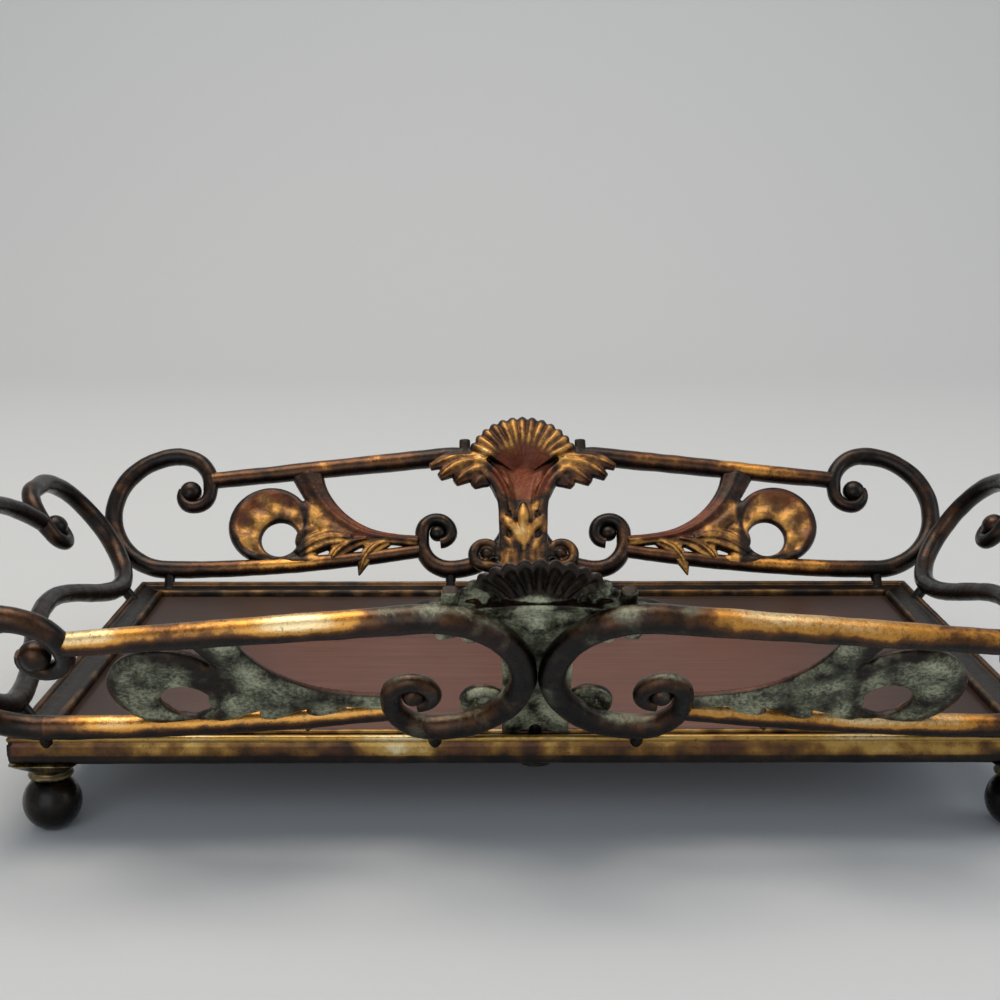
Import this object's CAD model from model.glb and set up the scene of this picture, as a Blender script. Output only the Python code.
import logging
import math
from dataclasses import dataclass, field
from enum import Enum
from typing import Callable, Optional, Sequence

import bmesh
import bpy
import numpy as np
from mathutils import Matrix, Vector, noise


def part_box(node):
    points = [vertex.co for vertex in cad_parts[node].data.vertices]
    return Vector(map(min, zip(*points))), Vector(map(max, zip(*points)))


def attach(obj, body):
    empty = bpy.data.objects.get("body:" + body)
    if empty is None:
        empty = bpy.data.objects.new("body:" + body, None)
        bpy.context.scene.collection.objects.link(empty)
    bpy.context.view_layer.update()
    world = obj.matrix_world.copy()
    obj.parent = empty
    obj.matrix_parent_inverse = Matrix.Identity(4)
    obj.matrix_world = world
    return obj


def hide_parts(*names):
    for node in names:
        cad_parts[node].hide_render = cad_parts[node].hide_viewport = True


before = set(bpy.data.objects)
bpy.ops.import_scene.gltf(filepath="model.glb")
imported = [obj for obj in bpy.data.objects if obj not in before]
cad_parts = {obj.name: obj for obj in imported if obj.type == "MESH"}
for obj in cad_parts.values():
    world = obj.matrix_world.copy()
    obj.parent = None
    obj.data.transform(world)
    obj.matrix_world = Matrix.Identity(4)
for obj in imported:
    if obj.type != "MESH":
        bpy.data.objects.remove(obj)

log = logging.getLogger("towel_tray")
MM = 0.001
GOLDEN = 0.61803
STRONGEST_TINT = 1.6
# from the top of a scroll's bend to the far side of its curl, in millimetres
CURL_REACH = 11.6


# ---------------------------------------------------------------- placing

class Side(Enum):
    """A side of the tray: the angle that turns the back side onto it."""

    BACK = 0.0
    FRONT = 180.0
    RIGHT = -90.0
    LEFT = 90.0


@dataclass(frozen=True)
class Stand:
    """Stands a flat drawing (u along the edge, s up the lean, w inwards) on a tray edge.

    All of its sizes are in millimetres; its points come out in metres.
    """

    side: Side
    reach: float
    top_z: float
    lean: float = 36.0
    mirrored: bool = False

    def points(self, local: np.ndarray) -> np.ndarray:
        """Turns local points into frame points.

        Args:
            local: N x 3 array of u, s, w in millimetres.

        Returns:
            N x 3 array of x, y, z in metres.
        """
        u, s, w = (local[:, i].copy() for i in range(3))
        if self.mirrored:
            u = -u
        tilt = math.radians(90.0 - self.lean)
        out = self.reach + s * math.cos(tilt) - w * math.sin(tilt)
        up = self.top_z + s * math.sin(tilt) + w * math.cos(tilt)
        turn = math.radians(self.side.value)
        x = u * math.cos(turn) - out * math.sin(turn)
        y = u * math.sin(turn) + out * math.cos(turn)
        return np.column_stack([x, y, up]) * MM


def smooth(low: float, high: float, value: np.ndarray) -> np.ndarray:
    """Rises smoothly from 0 at low to 1 at high."""
    t = np.clip((np.asarray(value, float) - low) / (high - low), 0.0, 1.0)
    return t * t * (3.0 - 2.0 * t)


def bumps(points: np.ndarray, grain: float, seed: float = 0.0) -> np.ndarray:
    """Soft noise from -1 to 1 at each point.

    Args:
        points: N x 3 array in metres.
        grain: size of one lump in millimetres.
        seed: shifts the pattern.

    Returns:
        N values.
    """
    k = 1.0 / (grain * MM)
    return np.array([noise.noise((p[0] * k + seed, p[1] * k, p[2] * k)) for p in points])


# ---------------------------------------------------------------- shells

@dataclass
class Shell:
    """Closed pieces of mesh that are gathered into one object."""

    verts: list = field(default_factory=list)
    faces: list = field(default_factory=list)

    def loft(self, rings: np.ndarray) -> None:
        """Joins rings of equal length into a closed skin with capped ends.

        Args:
            rings: N x M x 3 array, each ring running the same way round.
        """
        count, around = rings.shape[:2]
        first = len(self.verts)
        self.verts.extend(map(tuple, rings.reshape(-1, 3)))
        for i in range(count - 1):
            for j in range(around):
                a = first + i * around + j
                b = first + i * around + (j + 1) % around
                self.faces.append((a, b, b + around, a + around))
        for row, flip in ((0, True), (count - 1, False)):
            hub = len(self.verts)
            self.verts.append(tuple(rings[row].mean(axis=0)))
            for j in range(around):
                a = first + row * around + j
                b = first + row * around + (j + 1) % around
                self.faces.append((b, a, hub) if flip else (a, b, hub))

    def ball(self, centre: Sequence[float], radius: float, flat: float = 1.0) -> None:
        """Adds a round knob at centre, flattened along w."""
        turns = np.linspace(0.04, math.pi - 0.04, 15)
        ring = np.linspace(0.0, 2.0 * math.pi, 25)[:-1]
        rings = [
            np.column_stack([
                centre[0] + radius * math.sin(t) * np.cos(ring),
                centre[1] + radius * math.sin(t) * np.sin(ring),
                np.full(len(ring), centre[2] - radius * math.cos(t) * flat),
            ])
            for t in turns
        ]
        self.loft(np.array(rings))

    def object(self, name: str, place: Callable[[np.ndarray], np.ndarray]) -> bpy.types.Object:
        """Makes the object.

        Args:
            name: the piece's name.
            place: turns local points into frame points.

        Returns:
            A mesh object at the origin, with its faces outwards.
        """
        mesh = bpy.data.meshes.new(name)
        mesh.from_pydata(place(np.array(self.verts)).tolist(), [], self.faces)
        return finished(name, mesh)


def finished(name: str, mesh: bpy.types.Mesh) -> bpy.types.Object:
    """Links a mesh as an object, with doubles merged and faces turned outwards."""
    bm = bmesh.new()
    bm.from_mesh(mesh)
    bmesh.ops.remove_doubles(bm, verts=bm.verts, dist=1e-7)
    bmesh.ops.recalc_face_normals(bm, faces=bm.faces)
    bm.to_mesh(mesh)
    bm.free()
    mesh.polygons.foreach_set("use_smooth", [True] * len(mesh.polygons))
    obj = bpy.data.objects.new(name, mesh)
    bpy.context.scene.collection.objects.link(obj)
    return obj


def settled(obj: bpy.types.Object) -> bpy.types.Object:
    """Makes an object's modifiers part of its mesh."""
    bpy.context.view_layer.update()
    graph = bpy.context.evaluated_depsgraph_get()
    mesh = bpy.data.meshes.new_from_object(obj.evaluated_get(graph))
    obj.modifiers.clear()
    obj.data = mesh
    mesh.polygons.foreach_set("use_smooth", [True] * len(mesh.polygons))
    return obj


def cast(obj: bpy.types.Object, voxel: float = 0.42, soften: int = 3) -> bpy.types.Object:
    """Runs overlapping shells together into one casting with softened edges.

    Args:
        obj: the gathered shells.
        voxel: the finest detail kept, in millimetres.
        soften: passes of smoothing.

    Returns:
        The same object with a single skin.
    """
    fuse = obj.modifiers.new("fuse", "REMESH")
    fuse.mode = "VOXEL"
    fuse.voxel_size = voxel * MM
    relax = obj.modifiers.new("relax", "SMOOTH")
    relax.factor = 0.5
    relax.iterations = soften
    return settled(obj)


# ---------------------------------------------------------------- materials

def linear(hex_colour: str) -> tuple[float, float, float, float]:
    """Turns an sRGB hex colour into linear red, green, blue, alpha."""
    parts = [int(hex_colour[i:i + 2], 16) / 255.0 for i in (1, 3, 5)]
    rgb = [p / 12.92 if p <= 0.04045 else ((p + 0.055) / 1.055) ** 2.4 for p in parts]
    return (rgb[0], rgb[1], rgb[2], 1.0)


def add_node(tree: bpy.types.NodeTree, kind: str, settings: Optional[dict] = None,
             links: Optional[dict] = None) -> bpy.types.Node:
    """Adds one node.

    Args:
        tree: the tree that it goes in.
        kind: its type.
        settings: property names or input names (or numbers) and their values.
        links: input names (or numbers) and the output sockets that feed them.

    Returns:
        The node.
    """
    made = tree.nodes.new(kind)
    for key, value in (settings or {}).items():
        if isinstance(key, str) and hasattr(made, key):
            setattr(made, key, value)
        else:
            made.inputs[key].default_value = value
    for key, socket in (links or {}).items():
        tree.links.new(socket, made.inputs[key])
    return made


@dataclass(frozen=True)
class Patina:
    """Brass casting or bar, painted dark and rubbed back by hand.

    The eye sees near-black bronze in the hollows, red-brown where the wash is thin, gold where
    a cloth has rubbed the high places, and a pale grey-green bloom on the outer faces.
    The vertex attributes rub, red and green say where each one may show.
    """

    name: str
    dark: str
    brown: str
    red: str
    copper: str
    gold: str
    glint: str
    bloom: str
    shade: str = "#39402f"
    lump_mm: float = 5.0
    speck_mm: float = 1.1
    rough: float = 0.36
    relief_mm: float = 0.16

    def material(self) -> bpy.types.Material:
        """Builds the material."""
        made = bpy.data.materials.new(self.name)
        made.use_nodes = True
        tree = made.node_tree
        tree.nodes.clear()
        place = add_node(tree, "ShaderNodeTexCoord").outputs["Object"]

        def cloud(size_mm: float, detail: float, rough: float = 0.6) -> bpy.types.NodeSocket:
            """Noise with lumps of size_mm."""
            return add_node(
                tree, "ShaderNodeTexNoise",
                {"Scale": 1000.0 / size_mm, "Detail": detail, "Roughness": rough},
                {"Vector": place}).outputs["Fac"]

        def attribute(name: str) -> bpy.types.NodeSocket:
            """Reads a vertex attribute."""
            return add_node(tree, "ShaderNodeAttribute", {"attribute_name": name}).outputs["Fac"]

        def mask(amount: bpy.types.NodeSocket, pattern: bpy.types.NodeSocket, low: float,
                 high: float, weight: float) -> bpy.types.NodeSocket:
            """Where amount plus a share of the pattern passes from low to high."""
            total = add_node(tree, "ShaderNodeMath",
                             {"operation": "MULTIPLY_ADD", 1: weight}, {0: pattern, 2: amount})
            return add_node(
                tree, "ShaderNodeMapRange",
                {"interpolation_type": "SMOOTHSTEP", "From Min": low + weight * 0.5,
                 "From Max": high + weight * 0.5},
                {"Value": total.outputs[0]}).outputs["Result"]

        def mix(factor: bpy.types.NodeSocket, below: bpy.types.NodeSocket,
                above: str) -> bpy.types.NodeSocket:
            """Lays a colour over another."""
            layer = add_node(tree, "ShaderNodeMix", {"data_type": "RGBA"})
            layer.inputs[7].default_value = linear(above)
            tree.links.new(factor, layer.inputs[0])
            tree.links.new(below, layer.inputs[6])
            return layer.outputs[2]

        lumps = cloud(self.lump_mm, 5.0)
        specks = cloud(self.speck_mm, 4.0, 0.7)
        broad = cloud(self.lump_mm * 3.1, 3.0)
        rub, red, green = (attribute(a) for a in ("rub", "red", "green"))
        ramp = add_node(tree, "ShaderNodeValToRGB", links={"Fac": lumps})
        ramp.color_ramp.elements[0].position = 0.36
        ramp.color_ramp.elements[0].color = linear(self.dark)
        ramp.color_ramp.elements[1].position = 0.68
        ramp.color_ramp.elements[1].color = linear(self.brown)
        colour = ramp.outputs["Color"]
        colour = mix(mask(red, broad, 0.2, 1.1, 0.8), colour, self.red)
        colour = mix(mask(rub, lumps, 0.05, 0.60, 0.9), colour, self.copper)
        gilt = mask(rub, lumps, 0.30, 0.95, 1.0)
        colour = mix(mask(gilt, specks, 0.1, 0.95, 0.7), colour, self.gold)
        colour = mix(mask(rub, specks, 0.85, 1.35, 0.8), colour, self.glint)
        bloomed = mask(green, lumps, 0.25, 0.85, 1.1)
        colour = mix(bloomed, colour, self.shade)
        colour = mix(mask(green, specks, 0.45, 1.25, 1.6), colour, self.bloom)
        pits = mask(specks, broad, 0.60, 0.68, 0.12)
        colour = mix(add_node(tree, "ShaderNodeMath", {"operation": "MULTIPLY", 1: 0.6},
                              {0: pits}).outputs[0], colour, self.dark)
        metal = add_node(tree, "ShaderNodeMapRange", {"To Min": 0.78, "To Max": 0.12},
                         {"Value": bloomed})
        rough = add_node(tree, "ShaderNodeMapRange",
                         {"From Min": 0.3, "From Max": 0.7, "To Min": self.rough - 0.09,
                          "To Max": self.rough + 0.16}, {"Value": specks})
        rough_all = add_node(tree, "ShaderNodeMath", {"operation": "MULTIPLY_ADD", 1: 0.3},
                             {0: bloomed, 2: rough.outputs["Result"]})
        height = add_node(tree, "ShaderNodeMath", {"operation": "MULTIPLY_ADD", 1: 0.35},
                          {0: specks, 2: lumps})
        bump = add_node(tree, "ShaderNodeBump",
                        {"Strength": 0.8, "Distance": self.relief_mm * MM * 2.0},
                        {"Height": height.outputs[0]})
        shader = add_node(tree, "ShaderNodeBsdfPrincipled", {"Coat Weight": 0.25,
                                                              "Coat Roughness": 0.3},
                          {"Base Color": colour, "Metallic": metal.outputs["Result"],
                           "Roughness": rough_all.outputs[0], "Normal": bump.outputs[0]})
        add_node(tree, "ShaderNodeOutputMaterial", links={"Surface": shader.outputs[0]})
        return made


@dataclass(frozen=True)
class StainedWood:
    """Thin plywood, stained red-brown and waxed: fine straight grain with a soft satin gloss."""

    name: str = "stained_plywood"
    dark: str = "#3a231c"
    mid: str = "#5f3a2e"
    light: str = "#714838"
    edge: str = "#2b1d18"
    grain_mm: float = 1.6
    figure_mm: float = 30.0

    def material(self) -> bpy.types.Material:
        """Builds the material."""
        made = bpy.data.materials.new(self.name)
        made.use_nodes = True
        tree = made.node_tree
        tree.nodes.clear()
        place = add_node(tree, "ShaderNodeTexCoord").outputs["Object"]
        along = add_node(tree, "ShaderNodeMapping", {"Scale": (0.06, 1.0, 1.0)},
                         {"Vector": place})
        grain = add_node(tree, "ShaderNodeTexNoise",
                         {"Scale": 1000.0 / self.grain_mm, "Detail": 5.0, "Roughness": 0.65},
                         {"Vector": along.outputs[0]})
        figure = add_node(tree, "ShaderNodeTexNoise",
                          {"Scale": 1000.0 / self.figure_mm, "Detail": 3.0},
                          {"Vector": place})
        ramp = add_node(tree, "ShaderNodeValToRGB", links={"Fac": grain.outputs["Fac"]})
        ramp.color_ramp.elements[0].position = 0.3
        ramp.color_ramp.elements[0].color = linear(self.dark)
        ramp.color_ramp.elements[1].position = 0.72
        ramp.color_ramp.elements[1].color = linear(self.light)
        middle = ramp.color_ramp.elements.new(0.5)
        middle.color = linear(self.mid)
        worn = add_node(tree, "ShaderNodeMix", {"data_type": "RGBA", 7: linear(self.mid)},
                        {0: figure.outputs["Fac"], 6: ramp.outputs["Color"]})
        rim = add_node(tree, "ShaderNodeAttribute", {"attribute_name": "edge"})
        darker = add_node(tree, "ShaderNodeMix", {"data_type": "RGBA", 7: linear(self.edge)},
                          {0: rim.outputs["Fac"], 6: worn.outputs[2]})
        bump = add_node(tree, "ShaderNodeBump", {"Strength": 0.35, "Distance": 0.00008},
                        {"Height": grain.outputs["Fac"]})
        rough = add_node(tree, "ShaderNodeMapRange", {"To Min": 0.34, "To Max": 0.56},
                         {"Value": figure.outputs["Fac"]})
        shader = add_node(tree, "ShaderNodeBsdfPrincipled", {"IOR": 1.5},
                          {"Base Color": darker.outputs[2], "Roughness": rough.outputs[0],
                           "Normal": bump.outputs[0]})
        add_node(tree, "ShaderNodeOutputMaterial", links={"Surface": shader.outputs[0]})
        return made


# Hammered round bar: dark wash, gold only where hands and cloths reach.
BAR_BRONZE = Patina("patinated_brass_bar", dark="#0b0907", brown="#1b1410", red="#38201a",
                    copper="#5f3b1a", gold="#c98f3c", glint="#f3deaa", bloom="#a9ad92",
                    shade="#4c4f3e", rough=0.29)
# Sand-cast ornament: gold wash with red-brown shading and dark hollows.
GILT_CASTING = Patina("gilded_brass_casting", dark="#130d09", brown="#2c1f15", red="#5e2a11",
                      copper="#6c4a25", gold="#b98a44", glint="#e6c88a", bloom="#bcc0a2",
                      shade="#4f5542", lump_mm=2.6, speck_mm=0.9, relief_mm=0.3, rough=0.36)
# Drawn moulding: mottled gold and red-brown under lacquer.
MOULDING_BRONZE = Patina("lacquered_brass_moulding", dark="#120e0b", brown="#261c15",
                         red="#54311f", copper="#74501f", gold="#a98742", glint="#d9cda2",
                         bloom="#a2a78e", shade="#555744", lump_mm=6.0, rough=0.34)
# Turned and cast feet: almost black, smooth, softly glossy.
FOOT_BRONZE = Patina("blackened_brass_foot", dark="#090807", brown="#17130f", red="#24170f",
                     copper="#3a2c18", gold="#7d6a3c", glint="#b3a682", bloom="#4c5f55",
                     shade="#1f2a24", rough=0.26, relief_mm=0.1)


def tint(obj: bpy.types.Object, rub: np.ndarray, red: np.ndarray, green: np.ndarray) -> None:
    """Writes the patina's three attributes on a mesh's vertices."""
    for name, values in (("rub", rub), ("red", red), ("green", green)):
        layer = obj.data.attributes.get(name) or obj.data.attributes.new(name, "FLOAT", "POINT")
        layer.data.foreach_set("value", np.clip(values, 0.0, STRONGEST_TINT).astype(np.float32))


def shape_of(obj: bpy.types.Object) -> tuple[np.ndarray, np.ndarray]:
    """A mesh's vertex positions and normals, as two N x 3 arrays."""
    count = len(obj.data.vertices)
    place = np.zeros(count * 3)
    facing = np.zeros(count * 3)
    obj.data.vertices.foreach_get("co", place)
    obj.data.vertices.foreach_get("normal", facing)
    return place.reshape(-1, 3), facing.reshape(-1, 3)


def dress(obj: bpy.types.Object, material: bpy.types.Material,
          nodes: Sequence[str]) -> None:
    """Gives a new piece its material, its body and the CAD nodes that it stands for."""
    obj.data.materials.clear()
    obj.data.materials.append(material)
    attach(obj, "root")
    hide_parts(*nodes)
    log.info("%s: %d faces, stands for %s", obj.name, len(obj.data.polygons), ", ".join(nodes))


# ---------------------------------------------------------------- bars

@dataclass
class Route:
    """The centre line of a bar on the gallery's plane, with its radius at each point."""

    points: list = field(default_factory=list)
    step: float = 0.9

    def arc(self, centre: Sequence[float], radius: float, start: float, end: float,
            bar: float, bar_end: Optional[float] = None) -> "Route":
        """Adds a round stretch.

        Args:
            centre: u and s of its centre.
            radius: of the centre line.
            start: angle where it starts, in degrees.
            end: angle where it ends.
            bar: the bar's radius at its start.
            bar_end: and at its end, where it differs.

        Returns:
            The route itself.
        """
        last = bar if bar_end is None else bar_end
        count = max(3, int(abs(math.radians(end - start)) * radius / self.step))
        for i in range(count + 1):
            share = i / count
            turn = math.radians(start + (end - start) * share)
            self.add(centre[0] + radius * math.cos(turn), centre[1] + radius * math.sin(turn),
                     bar + (last - bar) * share)
        return self

    def line(self, end: Sequence[float], bar: float) -> "Route":
        """Adds a straight stretch from the last point."""
        u, s, _, old = self.points[-1]
        count = max(2, int(math.hypot(end[0] - u, end[1] - s) / (self.step * 1.6)))
        for i in range(1, count + 1):
            share = i / count
            self.add(u + (end[0] - u) * share, s + (end[1] - s) * share, old + (bar - old) * share)
        return self

    def curve(self, height: Callable[[float], float], start: float, end: float,
              bar: Callable[[float], float]) -> "Route":
        """Adds a stretch whose s is a function of u."""
        count = int(abs(end - start) / self.step)
        for i in range(count + 1):
            share = i / count
            u = start + (end - start) * share
            self.add(u, height(u), bar(share))
        return self

    def add(self, u: float, s: float, bar: float, w: float = 0.0) -> None:
        """Adds one point unless it repeats the last one."""
        if not self.points or math.hypot(u - self.points[-1][0], s - self.points[-1][1]) > 0.25:
            self.points.append((u, s, w, bar))


def bar_tree() -> bpy.types.NodeTree:
    """Geometry Nodes that sweep a hammered round bar along a line of points.

    Returns:
        A tree whose inputs are Sides, Hammer Depth, Hammer Size, Seed and Material.
    """
    tree = bpy.data.node_groups.new("hammered_bar", "GeometryNodeTree")
    face = tree.interface
    face.new_socket("Geometry", in_out="INPUT", socket_type="NodeSocketGeometry")
    face.new_socket("Sides", in_out="INPUT", socket_type="NodeSocketInt")
    face.new_socket("Hammer Depth", in_out="INPUT", socket_type="NodeSocketFloat")
    face.new_socket("Hammer Size", in_out="INPUT", socket_type="NodeSocketFloat")
    face.new_socket("Seed", in_out="INPUT", socket_type="NodeSocketFloat")
    face.new_socket("Material", in_out="INPUT", socket_type="NodeSocketMaterial")
    face.new_socket("Geometry", in_out="OUTPUT", socket_type="NodeSocketGeometry")
    source = add_node(tree, "NodeGroupInput").outputs
    curve = add_node(tree, "GeometryNodeMeshToCurve", links={"Mesh": source["Geometry"]})
    radius = add_node(tree, "GeometryNodeInputNamedAttribute", {"data_type": "FLOAT",
                                                                "Name": "bar_radius"})
    ring = add_node(tree, "GeometryNodeCurvePrimitiveCircle", {"Radius": 1.0},
                    {"Resolution": source["Sides"]})
    sweep = add_node(tree, "GeometryNodeCurveToMesh", {"Fill Caps": True},
                     {"Curve": curve.outputs[0], "Profile Curve": ring.outputs["Curve"],
                      "Scale": radius.outputs[0]})
    tight = add_node(tree, "ShaderNodeMath", {"operation": "DIVIDE", 0: 1.0},
                     {1: source["Hammer Size"]})
    dents = add_node(tree, "ShaderNodeTexNoise", {"noise_dimensions": "4D", "Detail": 1.0},
                     {"Scale": tight.outputs[0], "W": source["Seed"]})
    centred = add_node(tree, "ShaderNodeMath", {"operation": "SUBTRACT", 1: 0.5},
                       {0: dents.outputs["Fac"]})
    depth = add_node(tree, "ShaderNodeMath", {"operation": "MULTIPLY"},
                     {0: centred.outputs[0], 1: source["Hammer Depth"]})
    facing = add_node(tree, "GeometryNodeInputNormal")
    push = add_node(tree, "ShaderNodeVectorMath", {"operation": "SCALE"},
                    {0: facing.outputs[0], "Scale": depth.outputs[0]})
    beaten = add_node(tree, "GeometryNodeSetPosition",
                      links={"Geometry": sweep.outputs[0], "Offset": push.outputs[0]})
    whole = add_node(tree, "GeometryNodeRealizeInstances",
                     links={"Geometry": beaten.outputs[0]})
    dressed = add_node(tree, "GeometryNodeSetMaterial",
                       links={"Geometry": whole.outputs[0], "Material": source["Material"]})
    add_node(tree, "NodeGroupOutput", links={"Geometry": dressed.outputs[0]})
    return tree


def set_inputs(modifier: bpy.types.NodesModifier, values: dict) -> None:
    """Sets a Geometry Nodes modifier's named inputs by their identifiers."""
    for item in modifier.node_group.interface.items_tree:
        if item.item_type == "SOCKET" and item.in_out == "INPUT" and item.name in values:
            modifier[item.identifier] = values[item.name]


@dataclass
class BarMaker:
    """Draws hammered bars and dresses them with the patina."""

    material: bpy.types.Material
    tree: bpy.types.NodeTree = field(default_factory=bar_tree)
    sides: int = 26
    dent_depth: float = 0.55
    dent_size: float = 7.0
    made: int = 0

    def sweep(self, name: str, routes: Sequence[Route], stand: Stand,
              balls: Sequence[tuple] = ()) -> bpy.types.Object:
        """Makes one bar.

        Args:
            name: the piece's name.
            routes: its centre lines.
            stand: where it stands.
            balls: u, s, w and radius of each round end.

        Returns:
            The object, a plain mesh.
        """
        self.made += 1
        places, links, radii = [], [], []
        for route in routes:
            first = len(places)
            line = np.array(route.points)
            places.extend(stand.points(line[:, :3]).tolist())
            radii.extend((line[:, 3] * MM).tolist())
            links.extend((i, i + 1) for i in range(first, len(places) - 1))
        mesh = bpy.data.meshes.new(name)
        mesh.from_pydata(places, links, [])
        layer = mesh.attributes.new("bar_radius", "FLOAT", "POINT")
        layer.data.foreach_set("value", radii)
        obj = bpy.data.objects.new(name, mesh)
        bpy.context.scene.collection.objects.link(obj)
        modifier = obj.modifiers.new("bar", "NODES")
        modifier.node_group = self.tree
        set_inputs(modifier, {
            "Sides": self.sides, "Hammer Depth": self.dent_depth * MM,
            "Hammer Size": self.dent_size * MM, "Seed": self.made * GOLDEN,
            "Material": self.material})
        settled(obj)
        if balls:
            knobs = Shell()
            for u, s, w, radius in balls:
                knobs.ball((u, s, w), radius, flat=0.92)
            extra = knobs.object(name + "_knobs", stand.points)
            self.join(obj, extra)
        return obj

    @staticmethod
    def join(obj: bpy.types.Object, extra: bpy.types.Object) -> None:
        """Adds extra's mesh to obj and removes extra."""
        bm = bmesh.new()
        bm.from_mesh(obj.data)
        bm.from_mesh(extra.data)
        bmesh.ops.recalc_face_normals(bm, faces=bm.faces)
        bm.to_mesh(obj.data)
        bm.free()
        obj.data.polygons.foreach_set("use_smooth", [True] * len(obj.data.polygons))
        bpy.data.objects.remove(extra)

    def patinate(self, obj: bpy.types.Object, gold: float | np.ndarray, patch_mm: float = 16.0,
                 green: float | np.ndarray = 0.0,
                 outward: Sequence[float] = (0.0, 0.0)) -> None:
        """Says where the gold, red and green show on a bar.

        Args:
            obj: the bar.
            gold: how much of its top is rubbed, from 0 to 1.
            patch_mm: length of one rubbed patch.
            green: bloom on the underside and outer face.
            outward: x and y of the direction away from the tray.
        """
        place, facing = shape_of(obj)
        patch = bumps(place, patch_mm, self.made * 1.7)
        upward = smooth(0.05, 0.95, 0.78 * facing[:, 2] - 0.62 * facing[:, 1])
        out = facing[:, 0] * outward[0] + facing[:, 1] * outward[1]
        rub = gold * (0.05 + 1.05 * upward) + 0.45 * patch * (0.2 + gold)
        red = 0.2 + 0.4 * bumps(place, patch_mm * 0.7, 9.1) + 0.35 * gold
        weather = smooth(0.1, 0.9, facing[:, 2]) * 0.6 + smooth(0.2, 0.9, out) * 0.2
        bloom = green * (weather + 0.6 * bumps(place, 6.0, 3.1))
        tint(obj, rub, red, bloom)


# ---------------------------------------------------------------- galleries

@dataclass
class Curl:
    """The curl at the upper end of each scroll: a turn, a hook and a round eye."""

    turn_r: float = 11.0
    drop: float = 2.3
    hook_r: float = 5.3
    inner_r: float = 4.1
    eye_r: float = 3.7
    eye_shift: tuple = (1.3, 5.5)

    def add(self, route: Route, top: Sequence[float], bar: float, thin: float) -> tuple:
        """Continues a route from top and returns its eye as u, s, w and radius."""
        turn = (top[0], top[1] - self.turn_r)
        hook = (turn[0] - self.turn_r + self.hook_r, turn[1] - self.drop)
        low = hook[1] - self.hook_r
        route.arc(turn, self.turn_r, 90, 180, bar, thin + 0.2)
        route.line((hook[0] - self.hook_r, hook[1]), thin)
        route.arc(hook, self.hook_r, 180, 270, thin, thin - 0.1)
        route.arc((hook[0], low + self.inner_r), self.inner_r, 270, 385, thin - 0.1, thin - 0.5)
        return (hook[0] + self.eye_shift[0], low + self.eye_shift[1], 0.0, self.eye_r)


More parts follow.
